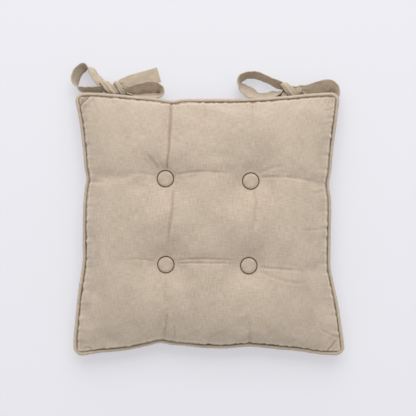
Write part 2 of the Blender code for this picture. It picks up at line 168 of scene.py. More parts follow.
# A smooth curve through (place, value) points, read off at one place.
def smoothThrough(points, where):
    for k in range(len(points) - 1):
        if where <= points[k + 1][0] or k == len(points) - 2:
            break
    p0, p1, p2, p3 = (points[max(0, min(len(points) - 1, k + n))] for n in (-1, 0, 1, 2))
    span = p2[0] - p1[0]
    t = max(0.0, min(1.0, (where - p1[0]) / span))
    slopeIn = (p2[1] - p0[1]) / (p2[0] - p0[0]) * span
    slopeOut = (p3[1] - p1[1]) / (p3[0] - p1[0]) * span
    return ((2 * t ** 3 - 3 * t ** 2 + 1) * p1[1] + (t ** 3 - 2 * t ** 2 + t) * slopeIn
            + (3 * t ** 2 - 2 * t ** 3) * p2[1] + (t ** 3 - t ** 2) * slopeOut)


# Each side of the seam line as (place along the side, distance out from the centre), in millimetres.
pad = {
    "left": [(-185, 195.3), (-167, 194.6), (-114, 189.3), (-69, 182.8), (-54, 181.3), (20, 180.6),
             (50, 178.3), (66, 175.3), (84, 178.6), (109, 180.8), (154, 186.8), (178, 192), (187, 193.4)],
    "right": [(-185, 198.4), (-167, 196), (-114, 187.3), (-69, 177.8), (-50, 177), (30, 177.8), (58, 175),
              (82, 178.3), (109, 180.8), (154, 186.8), (178, 190.3), (187, 191.3)],
    "back": [(-193, 189.6), (-160, 189), (-110, 184.3), (-75, 180.8), (-53, 177.6), (-34, 179.8), (0, 180),
             (67, 181), (120, 184.8), (165, 188.8), (192, 189.8)],
    "front": [(-195, 192), (-180, 190.8), (-160, 187.4), (-116, 182.8), (-88, 176), (-70, 172.3),
              (-52, 175.3), (18, 180.6), (62, 178.1), (107, 182), (138, 185.5), (165, 190), (197, 191)],
    "halfX": 188.0, "halfY": 184.0, "squareness": 3, "cornerRadius": 9.5,
    "seam": 24.0, "lip": 0.8,   # the seam's height, and how far each panel stands off it
    "crown": 35.0, "roundness": 2.4, "underRoundness": 1.25,
    "bulge": 2.9, "bulgeHeight": 10, "bulgeRim": 10,   # the top panel swells out over the piping
    "seatTop": 38.3, "seatUnder": 7.3, "topDimple": (12.0, 17.0), "underDimple": (10.0, 13.0),
    "dimplePower": 1.15,   # how softly the cloth round a button turns up out of its dimple
    "cells": (78, 76), "rimDensity": 1.35, "uvHalf": 0.2,
}
buttonSpots = {"back_left": (-62.7, 66.0), "back_right": (62.9, 62.5),
               "front_left": (-62.0, -60.5), "front_right": (60.0, -62.0)}
cornerAlong = (182, 188)   # where each side's distance is read to place its rounded corner


# A point of the panel, for u and v from -1 to 1 across it, in millimetres.
def planPoint(u, v):
    halfX, halfY, power, radius = pad["halfX"], pad["halfY"], pad["squareness"], pad["cornerRadius"]
    sideX = smoothThrough(pad["right"] if u > 0 else pad["left"], v * halfY)
    sideY = smoothThrough(pad["back"] if v > 0 else pad["front"], u * halfX)
    x = u * halfX + (sideX - halfX) * abs(u) ** power * math.copysign(1, u)
    y = v * halfY + (sideY - halfY) * abs(v) ** power * math.copysign(1, v)
    cornerX = smoothThrough(pad["right"] if u > 0 else pad["left"], math.copysign(cornerAlong[0], v)) - radius
    cornerY = smoothThrough(pad["back"] if v > 0 else pad["front"], math.copysign(cornerAlong[1], u)) - radius
    overX, overY = abs(x) - cornerX, abs(y) - cornerY
    reach = math.hypot(overX, overY)
    if overX > 0 and overY > 0 and reach > radius:
        x = math.copysign(cornerX + overX * radius / reach, x)
        y = math.copysign(cornerY + overY * radius / reach, y)
    return x, y


# Broad valleys that the tufting draws in the top, as (points in millimetres, depth, width).
valleys = [
    ([(-62, 80), (-59, 120), (-54, 180)], 3.4, 10.0), ([(-76, 68), (-110, 69), (-172, 66)], 1.3, 12.0),
    ([(-48, 71), (0, 76), (50, 70)], 2.6, 9.0), ([(78, 67), (109, 68), (140, 65), (172, 58)], 1.8, 10.0),
    ([(-56, 50), (-53, 16), (-57, -9), (-60, -44)], 2.8, 9.0),
    ([(65, 48), (70, 28), (61, -28), (60, -46)], 2.0, 10.0), ([(-46, -55), (0, -53), (44, -57)], 3.4, 8.0),
    ([(-77, -60), (-105, -53), (-176, -62)], 1.4, 12.0),
    ([(74, -64), (104, -66), (137, -69), (176, -66)], 1.8, 10.0),
    ([(-62, -76), (-60, -125), (-69, -176)], 2.4, 11.0), ([(63, 78), (65, 130), (67, 182)], 0.8, 14.0),
    ([(60, -77), (61, -130), (62, -180)], 1.2, 14.0), ([(-45, -152), (0, -148), (48, -152)], 2.2, 13.0),
    ([(-150, -156), (-110, -152)], 1.0, 13.0),
]
# Sharp creases in the cloth, pressed in after the filling, as (points, depth, width).
creases = [
    ([(-61, 77), (-58, 110), (-56, 140), (-54, 185)], 2.6, 1.5),
    ([(-70, 77), (-80, 90), (-92, 106)], 1.0, 1.8), ([(-66, 80), (-72, 96), (-77, 108)], 0.6, 1.6),
    ([(-76, 70), (-96, 74), (-118, 73)], 0.5, 2.0), ([(-48, 72), (-10, 76.5), (40, 73)], 0.8, 1.6),
    ([(76, 68), (109, 68.5), (140, 65), (168, 58)], 0.9, 1.7), ([(74, 74), (96, 82), (118, 84)], 0.5, 2.2),
    ([(-52, 50), (-53, 16), (-57, -9), (-61, -46)], 1.6, 1.6),
    ([(66, 48), (70, 28), (67, 0), (61, -28)], 0.8, 1.6),
    ([(-46, -53.5), (-10, -51.2), (44, -54)], 1.1, 1.2),
    ([(-45, -57.5), (0, -57.3), (43, -58.5)], 1.0, 1.2), ([(-77, -55), (-105, -52), (-128, -54)], 0.6, 1.8),
    ([(74, -64), (104, -66.5), (140, -69)], 0.9, 1.6),
    ([(73, -69), (100, -80), (128, -87), (150, -84)], 0.5, 2.0),
    ([(138, -10), (156, -9), (176, -7)], 0.5, 1.8), ([(-62, -78), (-63, -108), (-60, -138)], 0.5, 2.0),
    ([(-60, -132), (-63, -155), (-67, -180)], 1.3, 1.9),
    ([(-50, -150), (-49, -164), (-50, -180)], 0.8, 1.7),
    ([(176, -191), (180, -186), (185, -181), (188, -176)], 1.5, 1.5),
    ([(192, -168), (178, -163), (164, -155)], 0.6, 1.6),
    ([(-184, -186), (-178, -184), (-170, -189)], 1.0, 1.4),
    ([(-170, 184), (-166, 172), (-160, 160)], 0.5, 1.8), ([(188, 172), (180, 168), (170, 167)], 0.5, 1.4),
    ([(176, 186), (173, 178), (167, 171)], 0.5, 1.4), ([(186, 150), (176, 147), (164, 146)], 0.4, 1.4),
    ([(-181, 62), (-166, 62), (-150, 60)], 0.8, 2.0), ([(176, 52), (164, 46), (150, 44)], 0.6, 2.0),
    ([(-2, 184), (-4, 166), (-3, 150)], 0.5, 2.6), ([(66, 184), (66, 160), (64, 136)], 0.7, 2.6),
    ([(62, -180), (61, -156), (60, -130)], 0.7, 2.6),
]


# How far each point is from a bent line, and its share of the way along that line.
def alongLine(x, y, points):
    nearest = np.full_like(x, 1e9)
    share = np.zeros_like(x)
    total = sum(math.dist(a, b) for a, b in zip(points, points[1:]))
    run = 0.0
    for (ax, ay), (bx, by) in zip(points, points[1:]):
        length = math.dist((ax, ay), (bx, by))
        t = np.clip(((x - ax) * (bx - ax) + (y - ay) * (by - ay)) / length ** 2, 0, 1)
        away = np.hypot(x - ax - t * (bx - ax), y - ay - t * (by - ay))
        closer = away < nearest
        nearest = np.where(closer, away, nearest)
        share = np.where(closer, (run + t * length) / total, share)
        run += length
    return nearest, share


def bentLine(points):
    line = []
    for k in range(len(points) - 1):
        p0, p1, p2, p3 = (Vector(points[max(0, min(len(points) - 1, k + n))]) for n in (-1, 0, 1, 2))
        for step in range(5):
            t = step / 5
            line.append(tuple(0.5 * (2 * p1 + (p2 - p0) * t + (2 * p0 - 5 * p1 + 4 * p2 - p3) * t * t
                                     + (3 * p1 - p0 - 3 * p2 + p3) * t ** 3)))
    return line + [tuple(points[-1])]


def valleyDrop(x, y):
    drop = np.zeros_like(x)
    for points, depth, width in valleys:
        away = alongLine(x, y, points)[0]
        drop += depth * np.exp(-(away / width) ** 2)
    return drop


def crownShare(u, v):
    power = pad["roundness"]
    return np.sqrt(np.clip((1 - np.abs(u) ** power) * (1 - np.abs(v) ** power), 0, 1))


def seatPull(x, y, flat, spread):
    pull = np.zeros_like(x)
    for bx, by in buttonSpots.values():
        away = np.hypot(x - bx, y - by)
        pull = np.maximum(pull, np.exp(-(np.maximum(0, away - flat) / spread) ** pad["dimplePower"]))
    return pull


def topHeight(u, v, x, y):
    height = pad["seam"] + pad["lip"] + pad["crown"] * crownShare(u, v)
    pull = seatPull(x, y, *pad["topDimple"])
    height = height - valleyDrop(x, y) * (crownShare(u, v) ** 0.5) * (1 - pull)
    return height + (pad["seatTop"] - height) * pull


def underHeight(u, v, x, y):
    height = (pad["seam"] - pad["lip"]) * np.maximum(0, 1 - pad["underRoundness"] * crownShare(u, v))
    pull = seatPull(x, y, *pad["underDimple"])
    return height + (pad["seatUnder"] - height) * pull


def shapeLayer(bm, height):
    verts = list(bm.verts)
    u = np.array([p.co.x for p in verts])
    v = np.array([p.co.y for p in verts])
    u = np.sign(u) * (1 - (1 - np.abs(u)) ** pad["rimDensity"])
    v = np.sign(v) * (1 - (1 - np.abs(v)) ** pad["rimDensity"])
    plan = np.array([planPoint(a, b) for a, b in zip(u, v)])
    z = height(u, v, plan[:, 0], plan[:, 1])
    rise = (z - pad["seam"] - pad["lip"]) / pad["bulgeHeight"]
    swell = pad["bulge"] * np.sin(math.pi * np.clip(rise, 0, 1))
    plan[:, 0] += swell * np.sign(u) * np.abs(u) ** pad["bulgeRim"]
    plan[:, 1] += swell * np.sign(v) * np.abs(v) ** pad["bulgeRim"]
    for point, (x, y), up in zip(verts, plan, z):
        point.co = (x * mm, y * mm, up * mm)


# The top panel, a copy of it laid underneath, and the two joined along the seam.
def closedPad(cells, upper, under):
    bm = gridSheet(*cells)
    setUv(bm, lambda place: (place.x * pad["uvHalf"], place.y * pad["uvHalf"]))
    rest = bmesh.new()
    flat = bpy.data.meshes.new("panel")
    bm.to_mesh(flat)
    rest.from_mesh(flat)
    bpy.data.meshes.remove(flat)
    shapeLayer(bm, upper)
    shapeLayer(rest, under)
    bmesh.ops.reverse_faces(rest, faces=rest.faces)
    low = bpy.data.meshes.new("panel")
    rest.to_mesh(low)
    rest.free()
    bm.from_mesh(low)
    bpy.data.meshes.remove(low)
    rims = [edge for edge in bm.edges if edge.is_boundary]
    bmesh.ops.bridge_loops(bm, edges=rims)
    bmesh.ops.recalc_face_normals(bm, faces=bm.faces)
    return bm


cover = makeObject("cover", closedPad(pad["cells"], topHeight, underHeight), coverCloth)
print("seat pad: cover drafted,", len(cover.data.vertices), "points")


# The filling presses the cover out a little while the seam and the buttons hold it.
inflation = {"pressure": 3.0, "growth": 0.009, "steps": 16, "most": 9 * mm, "quality": 6, "mass": 0.25,
             "stretch": 30, "shear": 12, "bending": 0.6, "airDamping": 4, "heldRim": 0.4, "heldButton": 11.5}


def inflate(piece):
    mesh = piece.data
    count = len(mesh.vertices)
    before = np.empty(count * 3)
    mesh.vertices.foreach_get("co", before)
    before = before.reshape(-1, 3)
    held = piece.vertex_groups.new(name="held")
    x, y, z = (before / mm).T
    away = np.min([np.hypot(x - bx, y - by) for bx, by in buttonSpots.values()], axis=0)
    pinned = (z < pad["seam"] + pad["lip"] + inflation["heldRim"]) | (away < inflation["heldButton"])
    held.add([int(k) for k in np.nonzero(pinned)[0]], 1.0, "REPLACE")
    cloth = piece.modifiers.new("fill", "CLOTH")
    settings = cloth.settings
    settings.quality = inflation["quality"]
    settings.vertex_group_mass = "held"
    settings.use_pressure = True
    settings.uniform_pressure_force = inflation["pressure"]
    settings.shrink_min = -inflation["growth"]
    settings.mass = inflation["mass"]
    settings.tension_stiffness = inflation["stretch"]
    settings.compression_stiffness = inflation["stretch"]
    settings.shear_stiffness = inflation["shear"]
    settings.bending_stiffness = inflation["bending"]
    settings.air_damping = inflation["airDamping"]
    settings.effector_weights.gravity = 0
    cloth.collision_settings.use_collision = False
    cloth.point_cache.frame_start = 1
    cloth.point_cache.frame_end = inflation["steps"]
    for step in range(1, inflation["steps"] + 1):
        scene.frame_set(step)
    puffed = bpy.data.meshes.new_from_object(piece.evaluated_get(bpy.context.evaluated_depsgraph_get()))
    after = np.empty(count * 3)
    puffed.vertices.foreach_get("co", after)
    bpy.data.meshes.remove(puffed)
    piece.modifiers.remove(cloth)
    piece.vertex_groups.remove(held)
    scene.frame_set(1)
    move = after.reshape(-1, 3) - before
    size = np.linalg.norm(move, axis=1, keepdims=True)
    move *= np.minimum(1, inflation["most"] / np.maximum(size, 1e-9))
    mesh.vertices.foreach_set("co", (before + move).ravel())
    mesh.update()
    print("seat pad: filled, largest move", round(float(size.max()) * 1000, 1), "mm")


inflate(cover)


def subdivided(piece, levels):
    finer = piece.modifiers.new("finer", "SUBSURF")
    finer.levels = levels
    finer.render_levels = levels
    mesh = bpy.data.meshes.new_from_object(piece.evaluated_get(bpy.context.evaluated_depsgraph_get()))
    piece.modifiers.remove(finer)
    old = piece.data
    piece.data = mesh
    bpy.data.meshes.remove(old)


subdivided(cover, 2)


# The cloth stands up round each button and hugs it, and its mesh is finer there.
collar = {"radius": 12.0, "wall": 0.6, "rise": 3.6, "fade": 7.0, "shade": 0.9, "finer": (9.5, 17),
          "clear": (12.0, 3.5)}


def refineRoundButtons(piece):
    bm = bmesh.new()
    bm.from_mesh(piece.data)
    close = []
    for edge in bm.edges:
        middle = (edge.verts[0].co + edge.verts[1].co) / 2 / mm
        away = min(math.dist(middle.xy, spot) for spot in buttonSpots.values())
        if middle.z > pad["seam"] and collar["finer"][0] < away < collar["finer"][1]:
            close.append(edge)
    bmesh.ops.subdivide_edges(bm, edges=close, cuts=1, use_grid_fill=True)
    bm.to_mesh(piece.data)
    bm.free()
    piece.data.shade_smooth()


refineRoundButtons(cover)
# Corners where the cloth is tucked in, as (x, y, reach, ridge beside it, floor above the seam).
cornerTucks = [(-192, 189, 17.5, 3.4, 1.6)]
tuckLook = {"step": 0.45, "ripple": 0.5, "rippleSize": 2.6, "ridgeAt": 2.6, "ridgeWidth": 4.2,
            "lineAt": -0.5, "lineWidth": 1.1, "lineShade": 0.9, "patchShade": 0.22}
creaseLook = {"start": 0.06, "end": 0.3, "edge": 175, "ridge": 0.4, "ridgeAway": 2.3, "shade": 0.27,
              "shadeDepth": 2.4, "shadeWidth": 0.6, "shadeFade": 0.45}
# Each pucker along the seam is a few waves added up, as (length, share, phase).
puckerWaves = [(7.3, 0.5, 0.4), (11.9, 0.8, 2.1), (17.7, 0.7, 4.4), (29.0, 0.5, 1.2)]
wrinkling = {"seamShade": 1.9, "rimHighlightStrength": 0.45, "rimAt": 3.2, "rimWidth": 0.9, "pucker": 0.65, "reach": 7.5,
             "relief": 0.22, "reliefSize": 34.0, "reliefEdge": 12, "shadeTop": 34, "underFade": 3}


def sideTable(side):
    places = np.arange(-200, 201, 2.0)
    return places, np.array([smoothThrough(pad[side], place) for place in places])


# Puckers, creases, the tucked corner and the collars move the cover's points along their normals or straight
# up, and the "fold" attribute keeps painted shade for the cloth, and a painted highlight below zero on the
# rim.
def wrinkle(piece):
    mesh = piece.data
    count = len(mesh.vertices)
    spots = np.empty(count * 3)
    mesh.vertices.foreach_get("co", spots)
    spots = spots.reshape(-1, 3) / mm
    x, y, z = spots.T
    rise = np.clip((z - pad["seam"] - pad["lip"] - 0.3) / 3, 0, 1)   # nothing moves at the seam itself
    under = z < pad["seam"]
    gapX = np.where(x > 0, np.interp(y, *sideTable("right")), np.interp(y, *sideTable("left"))) - np.abs(x)
    gapY = np.where(y > 0, np.interp(x, *sideTable("back")), np.interp(x, *sideTable("front"))) - np.abs(y)
    gap = np.maximum(np.minimum(gapX, gapY), 0)
    along = np.where(gapX < gapY, y + 500 * np.sign(x), x + 1100 * np.sign(y))
    pucker = np.zeros(count)
    for wave, share, phase in puckerWaves:
        wander = 2.2 * np.sin(along / (wave * 3.1) + phase)
        pucker += share * np.sin(2 * math.pi * along / wave + phase + wander)
    settle = np.minimum(gap / 1.2, 1) * np.exp(-gap / wrinkling["reach"])
    shift = wrinkling["pucker"] * pucker * settle
    # Painted shade in the seam beside the piping.
    shaded = np.exp(-(gap / wrinkling["seamShade"]) ** 2) * np.clip((wrinkling["shadeTop"] - z) / 5, 0, 1)
    pull = seatPull(x, y, *collar["clear"])
    tucked = np.zeros(count)
    for points, depth, width in creases:
        away, share = alongLine(x, y, bentLine(points))
        taper = np.clip(share / creaseLook["start"], 0, 1)
        if max(abs(points[-1][0]), abs(points[-1][1])) <= creaseLook["edge"]:   # else it runs into the seam
            taper = taper * np.clip((1 - share) / creaseLook["end"], 0, 1)
        lip = np.exp(-((away - creaseLook["ridgeAway"] * width) / width) ** 2)
        fold = -depth * np.exp(-(away / width) ** 2) + creaseLook["ridge"] * depth * lip
        shift = shift + np.where(under, 0, fold * taper * (1 - pull) * np.minimum(gap / 1.5, 1))
        # Painted shade along each crease.
        shadow = np.exp(-(away / width / creaseLook["shadeWidth"]) ** 2) * taper * (1 - pull)
        shadow = shadow * creaseLook["shade"] * min(depth, creaseLook["shadeDepth"])
        shadow = shadow * (1 - creaseLook["shadeFade"] * share)
        shaded = np.maximum(shaded, np.where(under, 0, shadow))
    for cornerX, cornerY, size, ridge, floor in cornerTucks:
        past = (np.abs(x - cornerX) + np.abs(y - cornerY) - size) / math.sqrt(2)
        step = 1 / (1 + np.exp(-past / tuckLook["step"]))
        ripple = tuckLook["ripple"] * np.sin((x - y) / tuckLook["rippleSize"])
        patch = pad["seam"] + pad["lip"] + floor * np.minimum(gap / 1.5, 1) + ripple
        lower = (1 - step) * np.minimum(patch - z, 0) * np.minimum(gap / 1.2, 1)
        bank = np.exp(-((past - tuckLook["ridgeAt"]) / tuckLook["ridgeWidth"]) ** 2)
        rolled = step * ridge * bank * np.minimum(gap / 2, 1)
        tucked = tucked + np.where(under, 0, lower) + np.where(under, 0, rolled)
        # Painted shade along the tuck's step and on the tucked patch.
        line = tuckLook["lineShade"] * np.exp(-((past - tuckLook["lineAt"]) / tuckLook["lineWidth"]) ** 2)
        shaded = np.maximum(shaded, np.where(under, 0, line))
        shaded = np.maximum(shaded, np.where(under | (past > 0), 0, tuckLook["patchShade"]))
    beside = np.min([np.hypot(x - bx, y - by) for bx, by in buttonSpots.values()], axis=0)
    reach = np.maximum(0, beside - collar["radius"])
    stand = collar["rise"] * (1 - np.exp(-(reach / collar["wall"]) ** 2)) * np.exp(-reach / collar["fade"])
    relief = np.array([noise.noise(Vector((a, b, c)) / wrinkling["reliefSize"]) for a, b, c in spots])
    loose = np.minimum(gap / wrinkling["reliefEdge"], 1) * (1 - pull)
    shift = shift + wrinkling["relief"] * relief * 2 * loose
    normals = np.empty(count * 3)
    mesh.vertex_normals.foreach_get("vector", normals)
    normals = normals.reshape(-1, 3)
    amount = np.where(under, np.minimum(z / wrinkling["underFade"], 1) * shift, shift * rise)
    moved = spots + normals * amount[:, None]
    moved[:, 2] += np.where(under, 0, stand) + tucked
    moved *= mm
    moved[:, 2] = np.maximum(moved[:, 2], 0)
    mesh.vertices.foreach_set("co", moved.ravel())
    mesh.update()
    # Painted shade in a ring where the cloth hugs each button.
    paintedCollarShade = np.exp(-((beside - collar["radius"]) / collar["shade"]) ** 2)
    shaded = np.maximum(shaded, np.where(under, 0, paintedCollarShade))
    # Painted highlight along the rolled rim.
    paintedRimHighlight = np.exp(-((gap - wrinkling["rimAt"]) / wrinkling["rimWidth"]) ** 2)
    paintedRimHighlight = paintedRimHighlight * (1 - np.clip(shaded * 2, 0, 1))
    shaded = shaded - wrinkling["rimHighlightStrength"] * np.where(under, 0, paintedRimHighlight)
    mesh.attributes.new("fold", "FLOAT", "POINT").data.foreach_set("value", shaded.astype(np.float32))


wrinkle(cover)
print("seat pad: creases and puckers pressed in")


piping = {"radius": 3.1, "setIn": 0.8, "stations": 860, "around": 14, "drift": 0.5, "driftSize": 9,
          "ruche": 0.08, "rucheSize": 55, "fine": 0.14, "fineSize": 130, "shadeFrom": 0.15,
          "cornerSteps": 500}


def seamLine(count):
    dense = []
    for side in range(4):
        for k in range(piping["cornerSteps"]):
            t = -1 + 2 * k / piping["cornerSteps"]
            u, v = ((t, -1), (1, t), (-t, 1), (-1, -t))[side]
            dense.append(Vector((*planPoint(u, v), 0)))
    lengths = [0.0]
    for a, b in zip(dense, dense[1:] + dense[:1]):
        lengths.append(lengths[-1] + (b - a).length)
    line = []
    k = 0
    for station in range(count):
        goal = lengths[-1] * station / count
        while lengths[k + 1] < goal:
            k += 1
        t = (goal - lengths[k]) / max(lengths[k + 1] - lengths[k], 1e-9)
        line.append(dense[k].lerp(dense[(k + 1) % len(dense)], t))
    return line, lengths[-1]


# A tube of bias cloth along the seam, a little ruched, set a little into the seam so that no gap shows.
def makePiping():
    count, around = piping["stations"], piping["around"]
    line, total = seamLine(count)
    bm = gridSheet(count, around)
    setUv(bm, lambda place: ((place.x + 1) / 2 * total * mm, (place.y + 1) * math.pi * piping["radius"] * mm))
    bm.verts.index_update()
    shades = {}
    for vert in bm.verts:
        k = int(round((vert.co.x + 1) / 2 * count))
        swing = (vert.co.y + 1) * math.pi
        # Painted shade on the piping's side that faces the panel, down into the seam.
        inward = -math.cos(swing) - piping["shadeFrom"]
        shades[vert.index] = max(0.0, inward) / (1 - piping["shadeFrom"])
        place = line[k % count]
        ahead = (line[(k + 3) % count] - line[(k - 3) % count]).normalized()
        outward = Vector((ahead.y, -ahead.x, 0))
        turn = k % count / count * 2 * math.pi
        circle = Vector((math.cos(turn), math.sin(turn), 0))
        ruche = noise.noise(circle * piping["rucheSize"] + Vector((0, 0, math.cos(swing) * 0.6)))
        fine = noise.noise(circle * piping["fineSize"] + Vector((0, 0, math.sin(swing) * 0.8)))
        radius = piping["radius"] * (1 + piping["ruche"] * ruche + piping["fine"] * fine)
        drift = piping["drift"] * noise.noise(circle * piping["driftSize"] + Vector((0, 0, 3.0)))
        centre = place + outward * (piping["radius"] - piping["setIn"] + drift)
        spot = centre + outward * radius * math.cos(swing) + Vector((0, 0, radius * math.sin(swing)))
        vert.co = (spot.x * mm, spot.y * mm, (spot.z + pad["seam"] + drift) * mm)
    paintedShadeLayer = bm.verts.layers.float.new("fold")
    for vert in bm.verts:
        vert[paintedShadeLayer] = shades[vert.index]
    bmesh.ops.remove_doubles(bm, verts=bm.verts, dist=0.02 * mm)
    bmesh.ops.recalc_face_normals(bm, faces=bm.faces)
    return makeObject("piping", bm, biasCloth)


pipingPiece = makePiping()
print("seat pad: piping made")


# The cloth is drawn over a domed shell and gathered in underneath.
button = {"radius": 11.5, "height": 6.6, "rim": 3.0, "segments": 48, "roundness": 0.55, "domeSteps": 8,
          "underside": [(11.5, 0.6), (3.5, 0.6), (2.6, 0.1), (1.0, 0.0), (0.3, 0.35)], "stand": 0.4}


def turnedPiece(name, profile, segments, centre, mat):
    bm = bmesh.new()
    points = [bm.verts.new((r * mm, 0, z * mm)) for r, z in profile]
    edges = [bm.edges.new(pair) for pair in zip(points, points[1:])]
    bmesh.ops.spin(bm, geom=points + edges, axis=(0, 0, 1), cent=(0, 0, 0), angle=2 * math.pi,
                   steps=segments, use_merge=True)
    bmesh.ops.remove_doubles(bm, verts=bm.verts, dist=0.01 * mm)
    bmesh.ops.recalc_face_normals(bm, faces=bm.faces)
    setUv(bm, lambda place: (place.x, place.y))
    bmesh.ops.translate(bm, verts=bm.verts, vec=Vector(centre) * mm)
    return makeObject(name, bm, mat)


buttonPieces = {}
for spot, (x, y) in buttonSpots.items():
    radius, height, rim = button["radius"], button["height"], button["rim"]
    profile = [(radius - inset, up) for inset, up in button["underside"]]
    for k in range(button["domeSteps"] + 1):
        swing = math.pi / 2 * k / button["domeSteps"]
        away = radius * math.cos(swing) ** button["roundness"] if k < button["domeSteps"] else 0.0
        profile.append((away, rim + (height - rim) * math.sin(swing)))
    buttonPieces[spot] = turnedPiece(f"covered_button_{spot}", profile, button["segments"],
                                     (x, y, pad["seatTop"] + button["stand"]), buttonCloth)
print("seat pad: buttons made")

for piece in [cover, pipingPiece] + list(buttonPieces.values()):
    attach(piece, "pad")
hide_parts("top_panel", "bottom_panel", "fibre_filling")
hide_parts("piping_sleeve", "piping_cord")
for spot, piece in buttonPieces.items():
    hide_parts(f"button_cover_{spot}")

